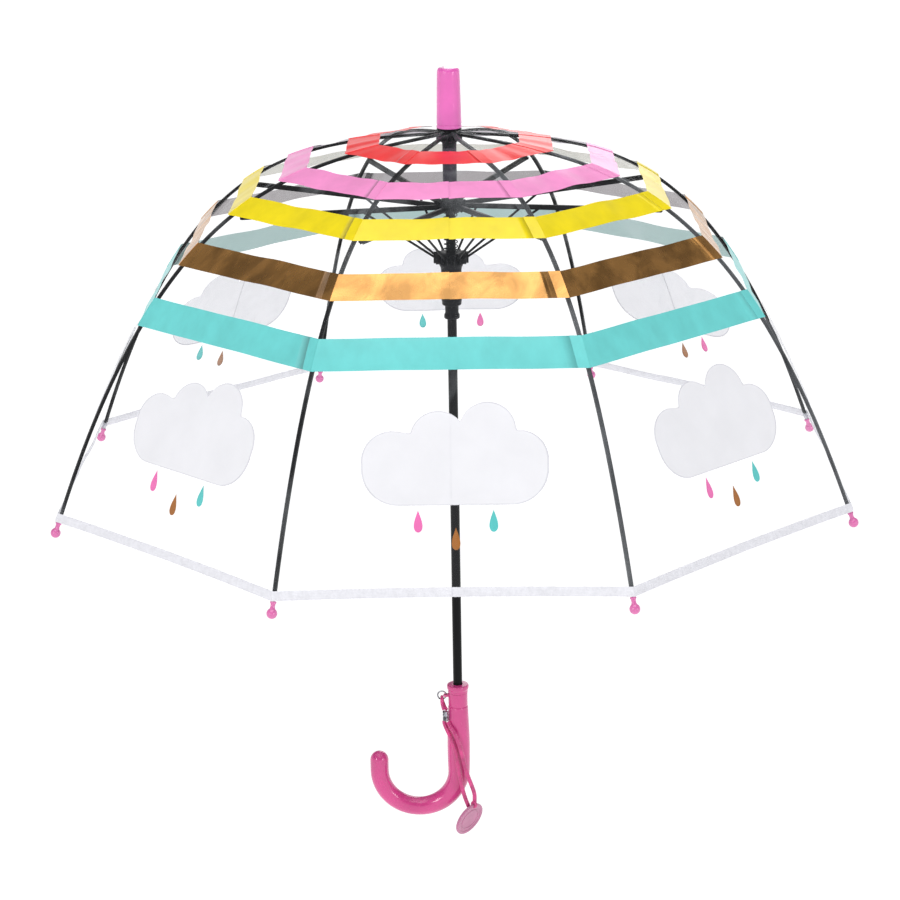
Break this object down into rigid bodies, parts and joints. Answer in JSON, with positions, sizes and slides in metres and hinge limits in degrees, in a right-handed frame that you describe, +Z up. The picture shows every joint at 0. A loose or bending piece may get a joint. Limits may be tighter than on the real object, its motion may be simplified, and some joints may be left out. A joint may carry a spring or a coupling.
{
  "type": "children's umbrella",
  "caption": "Open stick umbrella for a child: clear dome canopy with coloured bands, folding ribs, sliding double runner, steel shaft and hooked handle.",
  "frame": {"origin": "on the shaft's axis at the middle of the hand grip", "axes": "+Z up the shaft to the ferrule, +X away from the hook's open end, -Y towards the front panel"},
  "size_m": [0.6548, 0.6548, 0.6846],
  "materials": {
    "clear_pvc": "clear soft PVC film with printed bands",
    "hem_tape": "woven tape",
    "black_steel": "black coated steel",
    "black_plastic": "moulded, satin",
    "pink_plastic": "glossy moulded",
    "chrome": "polished",
    "strap_cord": "braided cord",
    "tag_plastic": "translucent pink"
  },
  "bodies": {
    "root": {"shaft": "black_steel", "crown": "black_plastic", "canopy_washer": "black_plastic", "ferrule": "pink_plastic", "stop_sleeve": "black_plastic", "canopy": "clear_pvc", "canopy_hem": "hem_tape", "handle": "pink_plastic", "handle_collar": "pink_plastic", "strap_ring": "chrome", "strap_crimp": "chrome", "strap_loop": "strap_cord", "strap_cord_left": "strap_cord", "strap_cord_right": "strap_cord", "strap_tag": "tag_plastic"},
    "upper_runner": {"upper_runner": "black_plastic", "runner_spring": "black_steel"},
    "lower_runner": {"lower_runner": "black_plastic"},
    "release_button": {"release_button": "pink_plastic"},
    "rib_inner_1": {"rib_inner_1": "black_steel"},
    "rib_outer_1": {"rib_outer_1": "black_steel", "rib_tip_1": "pink_plastic"},
    "stretcher_1": {"stretcher_1": "black_steel"},
    "strut_1": {"strut_1": "black_steel"},
    "rib_inner_2": {"rib_inner_2": "black_steel"},
    "rib_outer_2": {"rib_outer_2": "black_steel", "rib_tip_2": "pink_plastic"},
    "stretcher_2": {"stretcher_2": "black_steel"},
    "strut_2": {"strut_2": "black_steel"},
    "rib_inner_3": {"rib_inner_3": "black_steel"},
    "rib_outer_3": {"rib_outer_3": "black_steel", "rib_tip_3": "pink_plastic"},
    "stretcher_3": {"stretcher_3": "black_steel"},
    "strut_3": {"strut_3": "black_steel"},
    "rib_inner_4": {"rib_inner_4": "black_steel"},
    "rib_outer_4": {"rib_outer_4": "black_steel", "rib_tip_4": "pink_plastic"},
    "stretcher_4": {"stretcher_4": "black_steel"},
    "strut_4": {"strut_4": "black_steel"},
    "rib_inner_5": {"rib_inner_5": "black_steel"},
    "rib_outer_5": {"rib_outer_5": "black_steel", "rib_tip_5": "pink_plastic"},
    "stretcher_5": {"stretcher_5": "black_steel"},
    "strut_5": {"strut_5": "black_steel"},
    "rib_inner_6": {"rib_inner_6": "black_steel"},
    "rib_outer_6": {"rib_outer_6": "black_steel", "rib_tip_6": "pink_plastic"},
    "stretcher_6": {"stretcher_6": "black_steel"},
    "strut_6": {"strut_6": "black_steel"},
    "rib_inner_7": {"rib_inner_7": "black_steel"},
    "rib_outer_7": {"rib_outer_7": "black_steel", "rib_tip_7": "pink_plastic"},
    "stretcher_7": {"stretcher_7": "black_steel"},
    "strut_7": {"strut_7": "black_steel"},
    "rib_inner_8": {"rib_inner_8": "black_steel"},
    "rib_outer_8": {"rib_outer_8": "black_steel", "rib_tip_8": "pink_plastic"},
    "stretcher_8": {"stretcher_8": "black_steel"},
    "strut_8": {"strut_8": "black_steel"}
  },
  "joints": [
    {"name": "upper_runner_slide", "type": "slide", "parent": "root", "child": "upper_runner", "axis": [0, 0, -1], "range_m": [0, 0.29427], "stiffness_N_per_m": 45, "springref_m": -0.12, "deforming": ["canopy", "canopy_hem"]},
    {"name": "lower_runner_slide", "type": "slide", "parent": "upper_runner", "child": "lower_runner", "axis": [0, 0, 1], "range_m": [0, 0.0321], "deforming": ["runner_spring"]},
    {"name": "release_button_press", "type": "slide", "parent": "root", "child": "release_button", "axis": [0, -1, 0], "range_m": [0, 0.0015], "stiffness_N_per_m": 400, "springref_m": -0.001},
    {"name": "rib_fold_1", "type": "hinge", "parent": "root", "child": "rib_inner_1", "pos_m": [0.00306, -0.00739, 0.5401], "axis": [0.9239, 0.3827, 0], "range_deg": [0, 68.71]},
    {"name": "rib_flex_1", "type": "hinge", "parent": "rib_inner_1", "child": "rib_outer_1", "pos_m": [0.07099, -0.17138, 0.4917], "axis": [-0.9239, -0.3827, 0], "range_deg": [0, 38.59]},
    {"name": "stretcher_fold_1", "type": "hinge", "parent": "upper_runner", "child": "stretcher_1", "pos_m": [0.00697, -0.00794, 0.48], "axis": [-0.9239, -0.3827, 0], "range_deg": [0, 83.37]},
    {"name": "strut_fold_1", "type": "hinge", "parent": "lower_runner", "child": "strut_1", "pos_m": [0.00534, -0.01186, 0.436], "axis": [-0.9239, -0.3827, 0], "range_deg": [0, 53.49]},
    {"name": "rib_fold_2", "type": "hinge", "parent": "root", "child": "rib_inner_2", "pos_m": [0.00739, -0.00306, 0.5401], "axis": [0.3827, 0.9239, 0], "range_deg": [0, 68.71]},
    {"name": "rib_flex_2", "type": "hinge", "parent": "rib_inner_2", "child": "rib_outer_2", "pos_m": [0.17138, -0.07099, 0.4917], "axis": [-0.3827, -0.9239, 0], "range_deg": [0, 38.59]},
    {"name": "stretcher_fold_2", "type": "hinge", "parent": "upper_runner", "child": "stretcher_2", "pos_m": [0.01054, -0.00069, 0.48], "axis": [-0.3827, -0.9239, 0], "range_deg": [0, 83.37]},
    {"name": "strut_fold_2", "type": "hinge", "parent": "lower_runner", "child": "strut_2", "pos_m": [0.01216, -0.0046, 0.436], "axis": [-0.3827, -0.9239, 0], "range_deg": [0, 53.49]},
    {"name": "rib_fold_3", "type": "hinge", "parent": "root", "child": "rib_inner_3", "pos_m": [0.00739, 0.00306, 0.5401], "axis": [-0.3827, 0.9239, 0], "range_deg": [0, 68.71]},
    {"name": "rib_flex_3", "type": "hinge", "parent": "rib_inner_3", "child": "rib_outer_3", "pos_m": [0.17138, 0.07099, 0.4917], "axis": [0.3827, -0.9239, 0], "range_deg": [0, 38.59]},
    {"name": "stretcher_fold_3", "type": "hinge", "parent": "upper_runner", "child": "stretcher_3", "pos_m": [0.00794, 0.00697, 0.48], "axis": [0.3827, -0.9239, 0], "range_deg": [0, 83.37]},
    {"name": "strut_fold_3", "type": "hinge", "parent": "lower_runner", "child": "strut_3", "pos_m": [0.01186, 0.00534, 0.436], "axis": [0.3827, -0.9239, 0], "range_deg": [0, 53.49]},
    {"name": "rib_fold_4", "type": "hinge", "parent": "root", "child": "rib_inner_4", "pos_m": [0.00306, 0.00739, 0.5401], "axis": [-0.9239, 0.3827, 0], "range_deg": [0, 68.71]},
    {"name": "rib_flex_4", "type": "hinge", "parent": "rib_inner_4", "child": "rib_outer_4", "pos_m": [0.07099, 0.17138, 0.4917], "axis": [0.9239, -0.3827, 0], "range_deg": [0, 38.59]},
    {"name": "stretcher_fold_4", "type": "hinge", "parent": "upper_runner", "child": "stretcher_4", "pos_m": [0.00069, 0.01054, 0.48], "axis": [0.9239, -0.3827, 0], "range_deg": [0, 83.37]},
    {"name": "strut_fold_4", "type": "hinge", "parent": "lower_runner", "child": "strut_4", "pos_m": [0.0046, 0.01216, 0.436], "axis": [0.9239, -0.3827, 0], "range_deg": [0, 53.49]},
    {"name": "rib_fold_5", "type": "hinge", "parent": "root", "child": "rib_inner_5", "pos_m": [-0.00306, 0.00739, 0.5401], "axis": [-0.9239, -0.3827, 0], "range_deg": [0, 68.71]},
    {"name": "rib_flex_5", "type": "hinge", "parent": "rib_inner_5", "child": "rib_outer_5", "pos_m": [-0.07099, 0.17138, 0.4917], "axis": [0.9239, 0.3827, 0], "range_deg": [0, 38.59]},
    {"name": "stretcher_fold_5", "type": "hinge", "parent": "upper_runner", "child": "stretcher_5", "pos_m": [-0.00697, 0.00794, 0.48], "axis": [0.9239, 0.3827, 0], "range_deg": [0, 83.37]},
    {"name": "strut_fold_5", "type": "hinge", "parent": "lower_runner", "child": "strut_5", "pos_m": [-0.00534, 0.01186, 0.436], "axis": [0.9239, 0.3827, 0], "range_deg": [0, 53.49]},
    {"name": "rib_fold_6", "type": "hinge", "parent": "root", "child": "rib_inner_6", "pos_m": [-0.00739, 0.00306, 0.5401], "axis": [-0.3827, -0.9239, 0], "range_deg": [0, 68.71]},
    {"name": "rib_flex_6", "type": "hinge", "parent": "rib_inner_6", "child": "rib_outer_6", "pos_m": [-0.17138, 0.07099, 0.4917], "axis": [0.3827, 0.9239, 0], "range_deg": [0, 38.59]},
    {"name": "stretcher_fold_6", "type": "hinge", "parent": "upper_runner", "child": "stretcher_6", "pos_m": [-0.01054, 0.00069, 0.48], "axis": [0.3827, 0.9239, 0], "range_deg": [0, 83.37]},
    {"name": "strut_fold_6", "type": "hinge", "parent": "lower_runner", "child": "strut_6", "pos_m": [-0.01216, 0.0046, 0.436], "axis": [0.3827, 0.9239, 0], "range_deg": [0, 53.49]},
    {"name": "rib_fold_7", "type": "hinge", "parent": "root", "child": "rib_inner_7", "pos_m": [-0.00739, -0.00306, 0.5401], "axis": [0.3827, -0.9239, 0], "range_deg": [0, 68.71]},
    {"name": "rib_flex_7", "type": "hinge", "parent": "rib_inner_7", "child": "rib_outer_7", "pos_m": [-0.17138, -0.07099, 0.4917], "axis": [-0.3827, 0.9239, 0], "range_deg": [0, 38.59]},
    {"name": "stretcher_fold_7", "type": "hinge", "parent": "upper_runner", "child": "stretcher_7", "pos_m": [-0.00794, -0.00697, 0.48], "axis": [-0.3827, 0.9239, 0], "range_deg": [0, 83.37]},
    {"name": "strut_fold_7", "type": "hinge", "parent": "lower_runner", "child": "strut_7", "pos_m": [-0.01186, -0.00534, 0.436], "axis": [-0.3827, 0.9239, 0], "range_deg": [0, 53.49]},
    {"name": "rib_fold_8", "type": "hinge", "parent": "root", "child": "rib_inner_8", "pos_m": [-0.00306, -0.00739, 0.5401], "axis": [0.9239, -0.3827, 0], "range_deg": [0, 68.71]},
    {"name": "rib_flex_8", "type": "hinge", "parent": "rib_inner_8", "child": "rib_outer_8", "pos_m": [-0.07099, -0.17138, 0.4917], "axis": [-0.9239, 0.3827, 0], "range_deg": [0, 38.59]},
    {"name": "stretcher_fold_8", "type": "hinge", "parent": "upper_runner", "child": "stretcher_8", "pos_m": [-0.00069, -0.01054, 0.48], "axis": [-0.9239, 0.3827, 0], "range_deg": [0, 83.37]},
    {"name": "strut_fold_8", "type": "hinge", "parent": "lower_runner", "child": "strut_8", "pos_m": [-0.0046, -0.01216, 0.436], "axis": [-0.9239, 0.3827, 0], "range_deg": [0, 53.49]}
  ],
  "couplings": [
    {"joint": "lower_runner_slide", "follows": "upper_runner_slide", "ratio": 0.10883},
    {"joint": "rib_fold_1", "follows": "upper_runner_slide", "rad_per_m": 4.0633},
    {"joint": "rib_flex_1", "follows": "upper_runner_slide", "rad_per_m": 2.277},
    {"joint": "stretcher_fold_1", "follows": "upper_runner_slide", "rad_per_m": 4.933},
    {"joint": "strut_fold_1", "follows": "upper_runner_slide", "rad_per_m": 3.1608},
    {"joint": "rib_fold_2", "follows": "upper_runner_slide", "rad_per_m": 4.0633},
    {"joint": "rib_flex_2", "follows": "upper_runner_slide", "rad_per_m": 2.277},
    {"joint": "stretcher_fold_2", "follows": "upper_runner_slide", "rad_per_m": 4.933},
    {"joint": "strut_fold_2", "follows": "upper_runner_slide", "rad_per_m": 3.1608},
    {"joint": "rib_fold_3", "follows": "upper_runner_slide", "rad_per_m": 4.0633},
    {"joint": "rib_flex_3", "follows": "upper_runner_slide", "rad_per_m": 2.277},
    {"joint": "stretcher_fold_3", "follows": "upper_runner_slide", "rad_per_m": 4.933},
    {"joint": "strut_fold_3", "follows": "upper_runner_slide", "rad_per_m": 3.1608},
    {"joint": "rib_fold_4", "follows": "upper_runner_slide", "rad_per_m": 4.0633},
    {"joint": "rib_flex_4", "follows": "upper_runner_slide", "rad_per_m": 2.277},
    {"joint": "stretcher_fold_4", "follows": "upper_runner_slide", "rad_per_m": 4.933},
    {"joint": "strut_fold_4", "follows": "upper_runner_slide", "rad_per_m": 3.1608},
    {"joint": "rib_fold_5", "follows": "upper_runner_slide", "rad_per_m": 4.0633},
    {"joint": "rib_flex_5", "follows": "upper_runner_slide", "rad_per_m": 2.277},
    {"joint": "stretcher_fold_5", "follows": "upper_runner_slide", "rad_per_m": 4.933},
    {"joint": "strut_fold_5", "follows": "upper_runner_slide", "rad_per_m": 3.1608},
    {"joint": "rib_fold_6", "follows": "upper_runner_slide", "rad_per_m": 4.0633},
    {"joint": "rib_flex_6", "follows": "upper_runner_slide", "rad_per_m": 2.277},
    {"joint": "stretcher_fold_6", "follows": "upper_runner_slide", "rad_per_m": 4.933},
    {"joint": "strut_fold_6", "follows": "upper_runner_slide", "rad_per_m": 3.1608},
    {"joint": "rib_fold_7", "follows": "upper_runner_slide", "rad_per_m": 4.0633},
    {"joint": "rib_flex_7", "follows": "upper_runner_slide", "rad_per_m": 2.277},
    {"joint": "stretcher_fold_7", "follows": "upper_runner_slide", "rad_per_m": 4.933},
    {"joint": "strut_fold_7", "follows": "upper_runner_slide", "rad_per_m": 3.1608},
    {"joint": "rib_fold_8", "follows": "upper_runner_slide", "rad_per_m": 4.0633},
    {"joint": "rib_flex_8", "follows": "upper_runner_slide", "rad_per_m": 2.277},
    {"joint": "stretcher_fold_8", "follows": "upper_runner_slide", "rad_per_m": 4.933},
    {"joint": "strut_fold_8", "follows": "upper_runner_slide", "rad_per_m": 3.1608}
  ]
}
